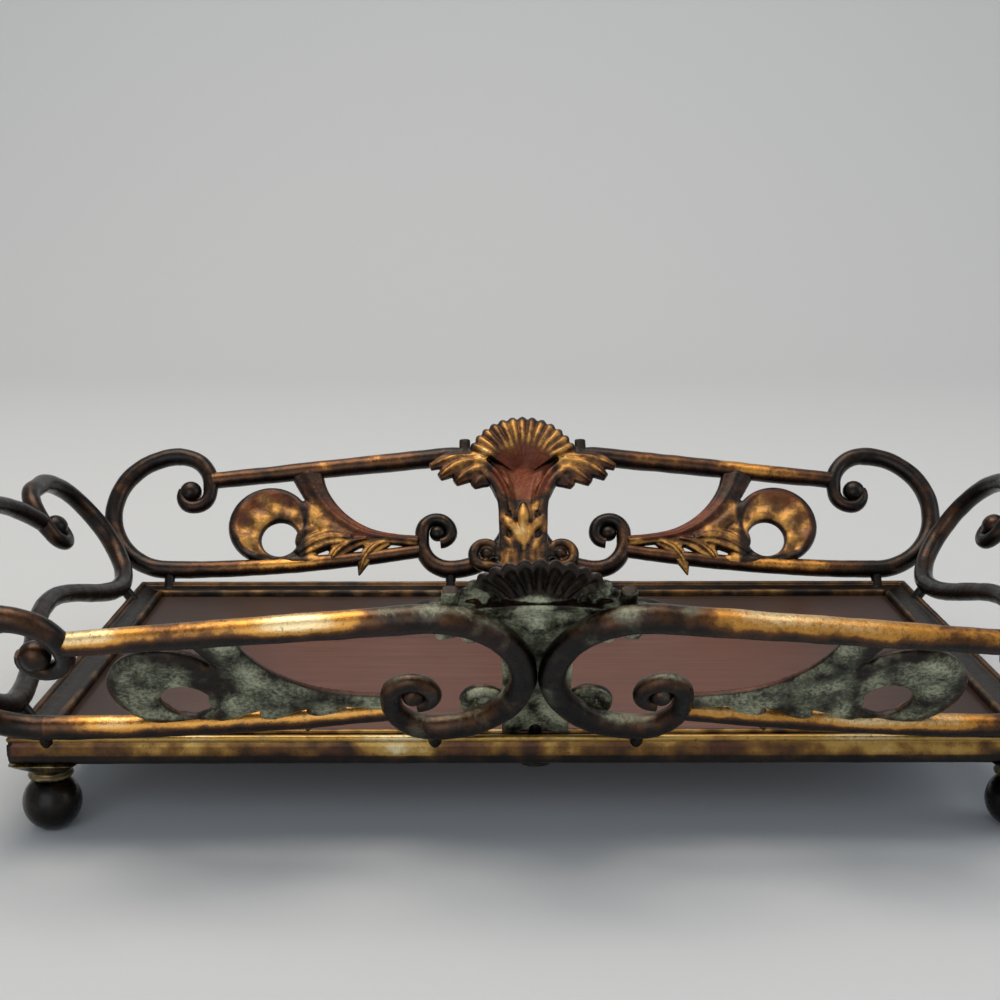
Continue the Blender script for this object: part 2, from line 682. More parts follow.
@dataclass
class LongGallery:
    """The front or back gallery: corner scrolls, rails and hooks, both hands."""

    side: Side
    half_w: float
    half_d: float
    top_z: float
    bars: BarMaker
    rise: float = 45.0
    foot_s: float = 3.9
    corner_inset: float = 9.4
    slope: float = 6.45
    bar_r: float = 2.9
    rail_r: float = 3.3
    thin_r: float = 2.3
    hook_r: float = 9.6
    spiral_r: float = 4.8
    lower_end_s: float = 10.5
    twin_gap: float = 3.25
    spiral_rise: float = 3.4
    eye_r: float = 2.7
    gold: float = 0.5

    @property
    def ring_r(self) -> float:
        """Radius of the corner and middle bends."""
        return (self.rise - self.foot_s) / 2.0

    @property
    def corner(self) -> tuple[float, float]:
        """Centre of the corner bend."""
        return (self.half_w - self.corner_inset, self.foot_s + self.ring_r)

    @property
    def middle(self) -> tuple[float, float]:
        """Centre of the middle bend, which touches its twin."""
        return (self.ring_r + self.twin_gap, self.foot_s + self.ring_r)

    def stand(self, mirrored: bool) -> Stand:
        """Where one hand of the gallery stands."""
        return Stand(self.side, self.half_d, self.top_z, mirrored=mirrored)

    @staticmethod
    def along(obj: bpy.types.Object) -> np.ndarray:
        """How far each vertex lies from the middle of the long side, in millimetres."""
        return np.abs(shape_of(obj)[0][:, 0]) / MM

    def hand_name(self, mirrored: bool) -> str:
        """left or right, as seen from the front."""
        plain = "right" if self.side is Side.BACK else "left"
        other = "left" if plain == "right" else "right"
        return other if mirrored else plain

    def outward(self) -> tuple[float, float]:
        """The direction away from the tray."""
        return (0.0, 1.0) if self.side is Side.BACK else (0.0, -1.0)

    def build(self) -> None:
        """Makes both hands."""
        edge = self.side.name.lower()
        for mirrored in (False, True):
            hand = self.hand_name(mirrored)
            stand = self.stand(mirrored)
            self.corner_scroll(f"{edge}_scroll_{hand}", stand)
            self.lower_rail(f"{edge}_lower_rail_{hand}", stand)
            self.top_rail(f"{edge}_rail_{hand}", stand)

    def corner_scroll(self, node: str, stand: Stand) -> None:
        """The C at the corner, from the frame round to its eye."""
        route = Route()
        route.arc(self.corner, self.ring_r, -92, 90, self.bar_r, self.bar_r + 0.1)
        eye = Curl().add(route, (self.corner[0], self.rise), self.bar_r, self.thin_r)
        obj = self.bars.sweep("bar_" + node, [route], stand, [eye])
        self.bars.patinate(obj, self.gold * 0.25, 12.0, 0.2, self.outward())
        dress(obj, self.bars.material, [node])

    def lower_rail(self, node: str, stand: Stand) -> None:
        """The long shallow bar from the corner to the hook."""
        start = self.middle[0] + self.hook_r + 0.8
        run = self.corner[0] - start
        gain = self.lower_end_s - self.foot_s
        route = Route().curve(lambda u: self.foot_s + gain * ((self.corner[0] - u) / run) ** 2,
                              start, self.corner[0], lambda t: 2.3 + 0.6 * t)
        obj = self.bars.sweep("bar_" + node, [route], stand)
        from_corner = smooth(self.corner[0], self.corner[0] - 18.0, self.along(obj))
        self.bars.patinate(obj, self.gold * (0.3 + 0.85 * from_corner), 18.0, 0.35,
                           self.outward())
        dress(obj, self.bars.material, [node])

    def top_rail(self, node: str, stand: Stand) -> None:
        """The rail, its middle bend, the hook and the inner spiral."""
        slope = math.radians(self.slope)
        start = (self.middle[0] + self.ring_r * math.sin(slope),
                 self.middle[1] + self.ring_r * math.cos(slope))
        far_u = self.corner[0] - CURL_REACH
        far_s = start[1] - math.tan(slope) * (far_u - start[0])
        hook = (self.middle[0], self.foot_s + self.hook_r)
        spiral = (hook[0] + self.hook_r - self.spiral_r, hook[1] + self.spiral_rise)
        route = Route()
        route.add(far_u, far_s, self.rail_r - 0.5)
        route.line(start, self.rail_r)
        route.arc(self.middle, self.ring_r, 90 - self.slope, 270, self.rail_r, self.bar_r + 0.1)
        route.arc(hook, self.hook_r, 270, 360, self.bar_r + 0.1, self.thin_r + 0.2)
        route.line((hook[0] + self.hook_r, spiral[1]), self.thin_r + 0.1)
        route.arc(spiral, self.spiral_r, 0, 180, self.thin_r + 0.1, self.thin_r - 0.2)
        route.arc((spiral[0] - 1.2, spiral[1]), self.spiral_r - 1.2, 180, 270,
                  self.thin_r - 0.2, self.thin_r - 0.4)
        eye = (spiral[0] - 0.3, spiral[1] - 0.2, 0.0, self.eye_r)
        obj = self.bars.sweep("bar_" + node, [route], stand, [eye])
        straight = smooth(self.middle[0] + 6.0, self.middle[0] + 20.0, self.along(obj))
        middle = smooth(0.0, 0.35, bumps(shape_of(obj)[0], 30.0, 2.7))
        bloom = 0.9 if self.side is Side.FRONT else 0.25
        self.bars.patinate(obj, self.gold * (0.3 + (0.55 + 0.6 * middle) * straight), 22.0,
                           bloom * (1.0 - straight), self.outward())
        dress(obj, self.bars.material, [node])


@dataclass
class EndGallery:
    """The left or right gallery: two scrolls, the low arch and the handle."""

    side: Side
    half_w: float
    half_d: float
    top_z: float
    bars: BarMaker
    rise: float = 43.8
    foot_s: float = 3.9
    inset: float = 17.0
    run: float = 8.0
    arch_rise: float = 12.2
    handle_s: float = 34.5
    handle_top: float = 49.0
    bar_r: float = 2.9
    thin_r: float = 2.3
    gold: float = 0.15

    @property
    def foot_v(self) -> float:
        """Where the scroll stands, from the middle of the side."""
        return self.half_d - self.inset

    def stand(self, mirrored: bool) -> Stand:
        """Where one hand of the gallery stands."""
        return Stand(self.side, self.half_w, self.top_z, mirrored=mirrored)

    def build(self) -> None:
        """Makes the scrolls, the arch and the handle."""
        edge = self.side.name.lower()
        out = (1.0, 0.0) if self.side is Side.RIGHT else (-1.0, 0.0)
        plain = "front" if self.side is Side.RIGHT else "back"
        other = "back" if plain == "front" else "front"
        ring_r = (self.rise - self.foot_s) / 2.0
        centre = (self.foot_v, self.foot_s + ring_r)
        for mirrored, hand in ((False, plain), (True, other)):
            route = Route().arc(centre, ring_r, -90, 90, self.bar_r)
            route.line((self.foot_v - self.run, self.rise), self.bar_r)
            eye = Curl().add(route, (self.foot_v - self.run, self.rise), self.bar_r, self.thin_r)
            node = f"{edge}_scroll_{hand}"
            obj = self.bars.sweep("bar_" + node, [route], self.stand(mirrored), [eye])
            self.bars.patinate(obj, self.gold, 10.0, 0.2, out)
            dress(obj, self.bars.material, [node])
        arch = Route().curve(
            lambda v: self.foot_s + self.arch_rise * (0.5 + 0.5 * math.cos(math.pi * v / self.foot_v)),
            -self.foot_v, self.foot_v, lambda t: self.bar_r - 0.3 * math.sin(math.pi * t))
        obj = self.bars.sweep(f"bar_{edge}_arch", [arch], self.stand(False))
        self.bars.patinate(obj, self.gold, 14.0, 0.2, out)
        dress(obj, self.bars.material, [f"{edge}_arch"])
        half = self.foot_v - self.run - CURL_REACH
        sag = self.handle_top - self.handle_s
        bend_r = (half * half + sag * sag) / (2.0 * sag)
        reach = math.degrees(math.asin(half / bend_r))
        handle = Route().arc((0.0, self.handle_top - bend_r), bend_r, 90 - reach, 90 + reach, 2.6)
        obj = self.bars.sweep(f"bar_{edge}_handle", [handle], self.stand(False))
        self.bars.patinate(obj, self.gold * 1.4, 14.0, 0.2, out)
        dress(obj, self.bars.material, [f"{edge}_handle"])


# ---------------------------------------------------------------- castings

@dataclass
class Band:
    """A tapering strip of relief along a spine: the cutting tool for leaves and limbs.

    spine holds u and s of hand-set points; widths holds the half width at each of them.
    """

    spine: Sequence[tuple]
    widths: Sequence[float]
    base: float
    crown: float
    under: float = 1.0
    ribs: int = 0
    groove: float = 0.0
    stations: int = 40
    across: int = 15

    def add_to(self, shell: Shell) -> None:
        """Adds the strip to a shell."""
        knots = np.array(self.spine, float)
        gaps = np.r_[0.0, np.cumsum(np.hypot(*np.diff(knots, axis=0).T))]
        t = np.linspace(0.0, gaps[-1], self.stations)
        line = np.column_stack([spline(gaps, knots[:, i], t) for i in (0, 1)])
        wide = np.maximum(spline(gaps, np.array(self.widths, float), t), 0.15)
        run = np.gradient(line, axis=0)
        run /= np.maximum(np.hypot(run[:, 0], run[:, 1])[:, None], 1e-9)
        side = np.column_stack([-run[:, 1], run[:, 0]])
        q = np.linspace(-1.0, 1.0, self.across)
        dome = np.sqrt(np.maximum(1.0 - q ** 2, 0.0)) ** 0.8
        rings = []
        for i in range(self.stations):
            thick = min(1.0, wide[i] / 2.2)
            ridge = 1.0 - self.groove * (0.5 - 0.5 * np.cos(math.pi * self.ribs * q)) * dome
            top = self.base + self.crown * thick * dome * ridge
            low = self.base - self.under * thick * dome
            flat = line[i] + side[i] * (q[:, None] * wide[i])
            upper = np.column_stack([flat, top])
            lower = np.column_stack([flat, low])[::-1][1:-1]
            rings.append(np.vstack([upper, lower]))
        shell.loft(np.array(rings))


def spline(knots: np.ndarray, values: np.ndarray, at: np.ndarray) -> np.ndarray:
    """A smooth curve through values at knots, with no overshoot at its ends."""
    slopes = np.gradient(values, knots)
    i = np.clip(np.searchsorted(knots, at, side="right") - 1, 0, len(knots) - 2)
    h = knots[i + 1] - knots[i]
    x = (at - knots[i]) / h
    return ((2 * x ** 3 - 3 * x ** 2 + 1) * values[i] + (x ** 3 - 2 * x ** 2 + x) * h * slopes[i]
            + (3 * x ** 2 - 2 * x ** 3) * values[i + 1] + (x ** 3 - x ** 2) * h * slopes[i + 1])


@dataclass
class LeafCasting:
    """Crescent, limb and acanthus leaf that fill the gallery between its rails."""

    material: bpy.types.Material
    base: float = 0.4
    crescent: tuple = (84.0, 19.5)
    crescent_r: float = 13.7
    eye: tuple = (80.2, 14.2)
    eye_r: float = 6.0

    def crescent_rings(self) -> np.ndarray:
        """Cross-sections of the crescent round its eye, from its upper tip to its lower one."""
        gap = np.array(self.eye) - np.array(self.crescent)
        rings = []
        for angle in np.radians(np.linspace(190.0, -168.0, 110)):
            ray = np.array([math.cos(angle), math.sin(angle)])
            b = float(ray @ gap)
            outer = -b + math.sqrt(b * b - float(gap @ gap) + self.crescent_r ** 2)
            q = np.linspace(0.0, 1.0, 19)
            reach = self.eye_r + (outer - self.eye_r) * q
            wide = min(1.0, (outer - self.eye_r) / 6.0)
            dome = np.sqrt(np.maximum(1.0 - (2 * q - 1) ** 2, 0.0)) ** 0.7
            dish = 0.42 * np.exp(-((q - 0.5) / 0.24) ** 2) * wide
            leaf = 0.16 * np.cos(angle * 9.0) * np.sin(math.pi * q)
            top = self.base + 2.9 * (0.35 + 0.65 * wide) * dome * (1.0 - dish + leaf)
            low = self.base - 1.9 * (0.4 + 0.6 * wide) * dome * (1.0 - 0.5 * dish)
            flat = np.array(self.eye) + reach[:, None] * ray
            rings.append(np.vstack([np.column_stack([flat, top]),
                                    np.column_stack([flat, low])[::-1][1:-1]]))
        return np.array(rings)

    def bands(self) -> list:
        """The limb, the leaf's lobes and the strips that tie them together."""
        b = self.base
        return [
            Band([(72.6, 38.6), (69.0, 30.5), (61.5, 21.4), (50.6, 15.6), (41.5, 14.2), (34.5, 13.4)],
                 [5.4, 4.3, 3.6, 2.6, 2.0, 2.2], b, 2.6, 1.6, ribs=2, groove=0.25, stations=64),
            Band([(58.0, 15.8), (66.0, 19.6), (72.0, 24.6), (78.0, 28.0)],
                 [1.8, 2.6, 2.8, 1.6], b, 2.3, 1.6),
            Band([(44.5, 13.4), (48.8, 11.4), (52.2, 7.0), (53.8, 1.6)],
                 [1.6, 2.7, 2.2, 0.4], b, 2.6, 1.6, ribs=2, groove=0.4),
            Band([(51.5, 14.2), (57.0, 12.6), (61.6, 8.8), (64.2, 4.0)],
                 [1.8, 2.9, 2.6, 0.6], b, 2.9, 1.7, ribs=2, groove=0.4),
            Band([(56.5, 14.0), (63.0, 14.6), (69.0, 12.6), (74.0, 8.6)],
                 [2.0, 3.5, 3.7, 2.0], b, 3.2, 1.8, ribs=3, groove=0.3),
            Band([(61.5, 6.6), (68.0, 6.6), (75.0, 6.4), (81.0, 7.2)],
                 [0.8, 2.2, 2.3, 1.1], b, 2.2, 1.5),
            Band([(68.0, 18.0), (71.5, 17.2), (73.6, 13.6), (72.6, 10.0)],
                 [1.0, 2.0, 1.8, 1.0], b, 2.7, 1.6),
        ]

    def build(self, gallery: LongGallery, mirrored: bool) -> None:
        """Makes one leaf casting."""
        hand = gallery.hand_name(mirrored)
        node = f"{gallery.side.name.lower()}_leaf_{hand}"
        shell = Shell()
        shell.loft(self.crescent_rings())
        for band in self.bands():
            band.add_to(shell)
        stand = gallery.stand(mirrored)
        obj = cast(shell.object("casting_" + node, stand.points), 0.4, 2)
        self.paint(obj, stand)
        dress(obj, self.material, [node])

    def paint(self, obj: bpy.types.Object, stand: Stand) -> None:
        """Gold on the inner face's high places, red limb and dark rim, bloom on the outer face."""
        place, facing = shape_of(obj)
        inner = self.inward(facing, stand)
        u, s, _ = self.local(place, stand).T
        ring = np.hypot(u - self.crescent[0], s - self.crescent[1])
        limb = smooth(70.0, 55.0, u - 0.9 * (s - 20.0)) * smooth(12.5, 15.5, s)
        limb = np.maximum(limb, smooth(27.0, 31.0, s) * smooth(79.0, 76.0, u))
        on_crescent = smooth(70.0, 73.0, u)
        rim = smooth(self.crescent_r - 3.2, self.crescent_r - 1.2, ring) * on_crescent
        front = smooth(-0.05, 0.35, inner)
        high = smooth(0.35, 0.95, inner)
        lumps = bumps(place, 5.0, 3.3)
        from_eye = np.hypot(u - self.eye[0], s - self.eye[1])
        outer = smooth(self.eye_r + 4.0, self.eye_r + 9.0, from_eye) * on_crescent
        top_limb = smooth(24.0, 31.0, s) * limb
        rub = front * (0.14 + 0.52 * high - 0.9 * rim - 0.3 * outer - 0.75 * limb + 0.5 * lumps)
        red = front * (0.30 + 0.55 * outer - 0.6 * rim + 0.5 * limb - 0.4 * top_limb + 0.3 * lumps)
        broad = bumps(place, 11.0, 6.3)
        green = smooth(0.1, -0.35, inner) * (0.62 + 0.55 * broad + 0.3 * lumps - 0.3 * rim)
        tint(obj, rub, red, green)

    @staticmethod
    def inward(facing: np.ndarray, stand: Stand) -> np.ndarray:
        """How far each normal faces the inside of the tray, from -1 to 1."""
        zero = stand.points(np.array([[0.0, 0.0, 0.0], [0.0, 0.0, 1.0]])) / MM
        return facing @ (zero[1] - zero[0])

    @staticmethod
    def local(place: np.ndarray, stand: Stand) -> np.ndarray:
        """Frame points as u, s and w in millimetres."""
        basis = stand.points(np.array([[0.0, 0, 0], [1.0, 0, 0], [0, 1.0, 0], [0, 0, 1.0]])) / MM
        return (place / MM - basis[0]) @ (basis[1:] - basis[0]).T


@dataclass
class ShellCrest:
    """The fluted shell on its stem, with lobed wings and two small volutes."""

    material: bpy.types.Material
    crown: float = 56.8
    fan_r: float = 21.6
    drop: float = 2.2
    flutes: int = 13
    half_span: float = 62.0
    wall: float = 2.3
    stem_half: float = 8.0
    rib_places: tuple = (-5.4, -2.7, 0.0, 2.7, 5.4)

    def fan_rings(self) -> np.ndarray:
        """Radial cross-sections of the shell from its left edge to its right one."""
        centre_s = self.crown - self.fan_r
        rings = []
        for angle in np.linspace(-self.half_span, self.half_span, 261):
            turn = math.radians(angle)
            wave = self.wave(angle)
            lip = self.fan_r - 0.55 * (1.0 - wave) - 1.2 * (abs(angle) / self.half_span) ** 2
            q = np.linspace(0.0, 1.0, 31)
            reach = lip * (0.12 + 0.88 * q)
            bowl = 5.0 + 3.6 * np.sin(math.pi * (0.1 + 0.72 * q)) - 1.4 * smooth(0.45, 0.0, q)
            flute = 0.8 * wave * smooth(0.40, 0.58, q) * (1.0 - 0.3 * smooth(0.85, 1.0, q))
            edge = np.sqrt(np.clip((1.0 - q) / 0.06, 0.0, 1.0))
            top = bowl + flute
            low = top - self.wall * (0.35 + 0.65 * edge)
            top = low + (top - low) * (0.3 + 0.7 * edge)
            flat = np.column_stack([reach * math.sin(turn), centre_s + reach * math.cos(turn)])
            rings.append(np.vstack([np.column_stack([flat, top]),
                                    np.column_stack([flat, low])[::-1]]))
        return np.array(rings)

    def stem_rings(self) -> np.ndarray:
        """Cross-sections of the stem from its foot up to the shell."""
        rings = []
        for s in np.linspace(-3.6, 44.0, 84):
            flare = smooth(24.0, 34.0, s) * 3.2 + smooth(31.0, 44.0, s) * 8.6
            half = self.stem_half + float(flare)
            q = np.linspace(-1.0, 1.0, 41)
            bowl = float(smooth(20.0, 38.0, s))
            cup = 0.30 + 0.45 * bowl
            hollow = -2.4 * bowl * np.exp(-(q / cup) ** 4)
            ridges = 0.55 * np.cos(q * math.pi * 5.0) * smooth(0.2, 0.5, np.abs(q))
            roll = np.sqrt(np.maximum(1.0 - q ** 8, 0.0))
            top = 3.4 + (3.5 + ridges + 0.7 * bowl + hollow) * roll
            low = 3.0 - 0.1 * roll + 1.1 * np.exp(-(q / 0.6) ** 4) * roll
            flat = np.column_stack([q * half, np.full(len(q), s)])
            rings.append(np.vstack([np.column_stack([flat, top]),
                                    np.column_stack([flat, low])[::-1][1:-1]]))
        return np.array(rings)

    def ornaments(self) -> list:
        """Palmette, ribs, wings and lugs, each as a band."""
        made = []
        for u in self.rib_places:
            top = 14.0 - 0.25 * abs(u)
            made.append(Band([(u, -2.4), (u * 0.97, 5.0), (u * 0.8, top)],
                             [0.9, 1.0, 0.7], 6.5, 2.0, 1.0))
        made.append(Band([(0, 10.0), (0, 17.0), (0, 22.5), (0, 27.0)],
                         [0.9, 1.4, 2.1, 0.6], 6.7, 2.4, 1.0))
        for hand in (-1, 1):
            made.append(self.handed(hand, [(1.0, 12.0), (2.4, 16.6), (4.8, 20.0), (6.6, 22.4)],
                                    [0.8, 1.3, 1.9, 0.6], 6.7, 2.2, 1.0))
            made.append(self.handed(hand, [(2.6, 9.0), (4.6, 13.0), (6.6, 15.4)],
                                    [0.7, 1.3, 0.6], 6.6, 1.7, 1.0))
            # edge ridges that run up the stem and out under the shell
            made.append(self.handed(
                hand, [(7.0, 2.0), (7.0, 20.0), (7.6, 29.0), (10.6, 36.0), (17.6, 42.6)],
                [1.0, 1.1, 1.2, 1.3, 0.8], 6.3, 2.0, 2.0, stations=60))
            made.append(self.handed(hand, [(4.2, 24.0), (5.0, 30.0), (8.2, 37.0), (14.6, 44.0)],
                                    [0.6, 0.9, 1.0, 0.7], 7.0, 1.9, 2.0, stations=50))
            made.extend(self.wing(hand))
            made.append(self.handed(hand, [(19.4, 46.6), (19.4, 51.0)], [2.0, 1.9], 5.0, 1.6, 1.8))
        return made

    @staticmethod
    def handed(hand: int, spine: Sequence[tuple], widths: Sequence[float], base: float,
               crown: float, under: float, **more: float) -> Band:
        """A band drawn for the right hand, mirrored where hand is -1."""
        return Band([(hand * u, s) for u, s in spine], widths, base, crown, under, **more)

    @staticmethod
    def wing(hand: int) -> list:
        """One wing: lobes that overlap like ruffled leaf, each with its own grooves."""
        lobes = [
            ([(9.5, 38.0), (13.5, 36.6), (16.6, 33.6)], [2.4, 3.6, 1.2], 1.9),
            ([(10.5, 40.6), (17.0, 39.2), (22.6, 35.0)], [2.6, 3.9, 1.4], 2.5),
            ([(12.0, 43.0), (21.0, 41.6), (27.8, 37.0)], [2.6, 3.9, 1.4], 2.9),
            ([(14.0, 44.6), (23.0, 44.0), (31.0, 40.8)], [2.0, 3.0, 1.3], 2.5),
        ]
        return [
            ShellCrest.handed(hand, spine, widths, 4.9, crown, 1.6, ribs=2, groove=0.35)
            for spine, widths, crown in lobes
        ]

    def volutes(self, shell: Shell) -> None:
        """The two small hooks at the foot of the stem."""
        for hand in (-1, 1):
            route = Route(step=0.6)
            route.add(5.0, 1.4, 2.0)
            route.line((12.4, 3.0), 2.0)
            route.arc((12.4, 7.0), 4.0, -90, 195, 1.9, 1.4)
            line = np.array(route.points)
            ring = np.linspace(0.0, 2.0 * math.pi, 15)[:-1]
            run = np.gradient(line[:, :2], axis=0)
            run /= np.hypot(run[:, 0], run[:, 1])[:, None]
            rings = []
            for (u, s, _, bar), (du, ds) in zip(line, run):
                across = bar * np.cos(ring)
                rings.append(np.column_stack([
                    hand * (u - ds * across), s + du * across, 5.4 + bar * 1.1 * np.sin(ring)]))
            shell.loft(np.array(rings))
            shell.ball((hand * 11.9, 7.2, 5.4), 2.1)

    def build(self, gallery: LongGallery) -> None:
        """Makes the crest of one gallery."""
        node = f"{gallery.side.name.lower()}_shell_crest"
        shell = Shell()
        shell.loft(self.fan_rings())
        shell.loft(self.stem_rings())
        for band in self.ornaments():
            band.spine = [(u, s - self.drop) for u, s in band.spine]
            band.add_to(shell)
        self.volutes(shell)
        stand = gallery.stand(False)
        obj = cast(shell.object("casting_" + node, stand.points), 0.36, 2)
        self.paint(obj, stand)
        dress(obj, self.material, [node])

    def wave(self, spread: float | np.ndarray) -> float | np.ndarray:
        """Height of the flutes, from -1 in a groove to 1 on a rib, at an angle from the middle."""
        phase = np.cos(0.5 * math.pi * self.flutes * spread / self.half_span)
        return 2.0 * np.abs(phase) ** 0.55 - 1.0

    def paint(self, obj: bpy.types.Object, stand: Stand) -> None:
        """Gold on ribs, wings and palmette, red-brown in the bowl, bloom on the outer face."""
        place, facing = shape_of(obj)
        local = LeafCasting.local(place, stand)
        inner = LeafCasting.inward(facing, stand)
        u, s, w = np.abs(local[:, 0]), local[:, 1] + self.drop, local[:, 2]
        up = local[:, 1] - (self.crown - self.fan_r)
        spread = np.degrees(np.arctan2(u, up))
        reach = np.hypot(u, up)
        wave = self.wave(spread)
        ribbed = smooth(9.0, 11.5, reach) * smooth(42.0, 46.0, s)
        front = smooth(-0.1, 0.3, inner)
        wings = smooth(10.5, 13.0, u) * smooth(46.5, 44.0, s) * smooth(28.0, 32.0, s)
        bowl = smooth(12.0, 8.0, reach) * smooth(24.0, 30.0, s) * (1.0 - wings)
        palmette = smooth(28.0, 26.0, s) * smooth(7.4, 5.4, u) * smooth(6.8, 7.9, w)
        volute = smooth(8.6, 9.6, u) * smooth(16.0, 13.0, s)
        lumps = bumps(place, 4.0, 7.7)
        stem = smooth(11.0, 8.5, u) * smooth(40.0, 30.0, s)
        lip = smooth(self.fan_r - 2.6, self.fan_r - 1.0, reach) * ribbed
        lug = smooth(17.0, 17.8, u) * smooth(44.4, 45.4, s)
        high = smooth(6.0, 7.9, w)
        rub = front * (0.04 + ribbed * (0.30 + 0.34 * wave) - 0.5 * lip - 0.7 * lug
                       + wings * (0.10 + 0.62 * high) + palmette * 0.62 + stem * 0.12
                       + volute * 0.25 * inner - bowl * 0.05 + 0.45 * lumps)
        red = front * (0.10 + bowl * 1.1 + ribbed * (0.55 - 0.5 * lip) + 0.4 * wings
                       - 0.2 * stem + 0.25 * lumps)
        bare = ribbed * (1.0 - 0.75 * smooth(34.0, 50.0, spread))
        green = smooth(0.1, -0.3, inner) * (0.75 + 0.45 * lumps) * (1.0 - 0.85 * bare)
        tint(obj, rub, red, green)


# ---------------------------------------------------------------- base

@dataclass
class Moulding:
    """One mitred side of the frame: bead, flat face, cove below, ledge for the panel."""

    side: Side
    half_length: float
    reach: float
    foot_z: float
    height: float
    material: bpy.types.Material
    width: float = 8.6
    ledge_reach: float = 3.6
    ledge_h: float = 2.0
    bead_r: float = 0.85
    stations: int = 190
    dent: float = 0.09

    def profile(self) -> np.ndarray:
        """The section as n (outwards from the outer face) and z, round its edge."""
        h, t, r = self.height, self.width, self.bead_r
        lip = h - 1.0
        arc = np.radians(np.linspace(-50, 190, 13))
        points = [(-t - self.ledge_reach, 0.0), (-4.6, 0.0), (-1.5, 0.0)]
        points += [(-1.3 + 1.1 * math.sin(a), 1.5 - 1.3 * math.cos(a))
                   for a in np.radians((10, 35, 60, 85))]
        points += [(-0.12, 2.3), (0.0, 2.7), (0.0, 3.6), (0.0, 4.6), (0.0, h - 2 * r - 0.5),
                   (-0.3, h - 2 * r - 0.2)]
        points += [(-r + r * math.cos(a), h - r + r * math.sin(a)) for a in arc]
        points += [(-2.4, h - r - 0.25), (-4.3, h - r - 0.45), (-t + 2.4, lip - r)]
        points += [(-t + r + r * math.cos(a), lip - r + r * math.sin(a)) for a in arc[1:]]
        points += [(-t, lip - r - 0.4), (-t, self.ledge_h + 0.3), (-t, self.ledge_h),
                   (-t - self.ledge_reach, self.ledge_h)]
        return np.array(points)

    def build(self) -> None:
        """Makes the side."""
        node = f"frame_{self.side.name.lower()}"
        outline = self.profile()
        turn = math.radians(self.side.value)
        rings = []
        for share in np.linspace(-1.0, 1.0, self.stations):
            x = share * (self.half_length + outline[:, 0])
            y = self.reach + outline[:, 0]
            rings.append(np.column_stack([
                x * math.cos(turn) - y * math.sin(turn),
                x * math.sin(turn) + y * math.cos(turn),
                self.foot_z + outline[:, 1]]))
        shell = Shell()
        shell.loft(np.array(rings))
        obj = shell.object("moulding_" + node, lambda points: points * MM)
        place, facing = shape_of(obj)
        wear = bumps(place, 9.0, self.side.value)
        moved = place + facing * (wear * self.dent * MM)[:, None]
        moved[:, 2] = np.minimum(moved[:, 2], (self.foot_z + self.height) * MM)
        obj.data.vertices.foreach_set("co", moved.ravel())
        obj.data.update()
        out = np.array([-math.sin(turn), math.cos(turn), 0.0])
        outward = facing @ out
        z = place[:, 2] / MM - self.foot_z
        n = place @ out / MM - self.reach
        outer_bead = smooth(self.height - 2.1, self.height - 1.0, z) * smooth(-2.2, -1.6, n)
        inner_bead = smooth(-self.width + 2.0, -self.width + 1.5, n)
        inner_bead = inner_bead * smooth(self.height - 3.2, self.height - 2.6, z)
        face = smooth(0.3, 0.8, outward) * smooth(2.0, 3.0, z) * (1.0 - outer_bead)
        patch = bumps(place, 13.0, 4.4)
        fine = bumps(place, 4.0, 8.8)
        bright = 1.0 if self.side is Side.FRONT else 0.35
        rub = face * (0.46 + 0.75 * patch + 0.4 * fine) + outer_bead * bright * (0.85 + 0.4 * patch)
        rub = rub + inner_bead * (0.22 + 0.3 * patch + 0.3 * fine)
        red = 0.1 + face * (0.4 - 0.8 * patch) + 0.2 * fine
        green = 0.4 * outer_bead * (0.4 + fine) + 0.4 * inner_bead * (0.5 + fine)
        tint(obj, rub, red, green)
        dress(obj, self.material, [node])


